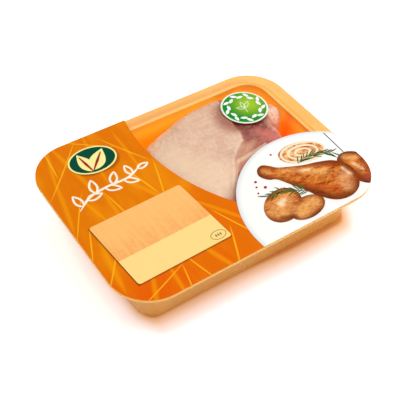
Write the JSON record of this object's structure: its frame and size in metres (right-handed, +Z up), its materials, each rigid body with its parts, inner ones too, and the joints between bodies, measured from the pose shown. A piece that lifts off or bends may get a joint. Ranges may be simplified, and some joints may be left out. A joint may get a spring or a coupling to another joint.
{
  "type": "packed raw turkey drumstick",
  "caption": "Sealed plastic tray with a clear, partly printed lid film over a raw turkey drumstick, with a bare label panel and a round sticker.",
  "frame": {"origin": "middle of the tray's base, on the surface that the pack stands on", "axes": "+X along the tray's long side, towards the drumstick's thick end; +Y towards the tray's back, away from the white plate print; +Z up"},
  "size_m": [0.262, 0.192, 0.0535],
  "materials": {
    "tray_plastic": "smooth light orange thermoformed plastic, slightly translucent",
    "lid_film": "clear glossy film, stretched flat",
    "orange_print": "orange print with lighter crossing streaks, under gloss",
    "white_print": "white print with a soft grey rim and small coloured motifs",
    "panel_print": "two-tone straw and peach print, no text",
    "badge_print": "cream oval with a green border and a plain sprig",
    "sticker_print": "green round sticker, lighter in the middle, with a pale rim",
    "meat": "moist raw turkey skin, pale pink, with darker red bare meat at the thick end"
  },
  "bodies": {
    "root": {"tray": "tray_plastic", "lid_film": "lid_film", "orange_label": "orange_print", "plate_print": "white_print", "label_panel": "panel_print", "oval_badge": "badge_print", "round_sticker": "sticker_print", "drumstick": "meat"}
  },
  "joints": []
}
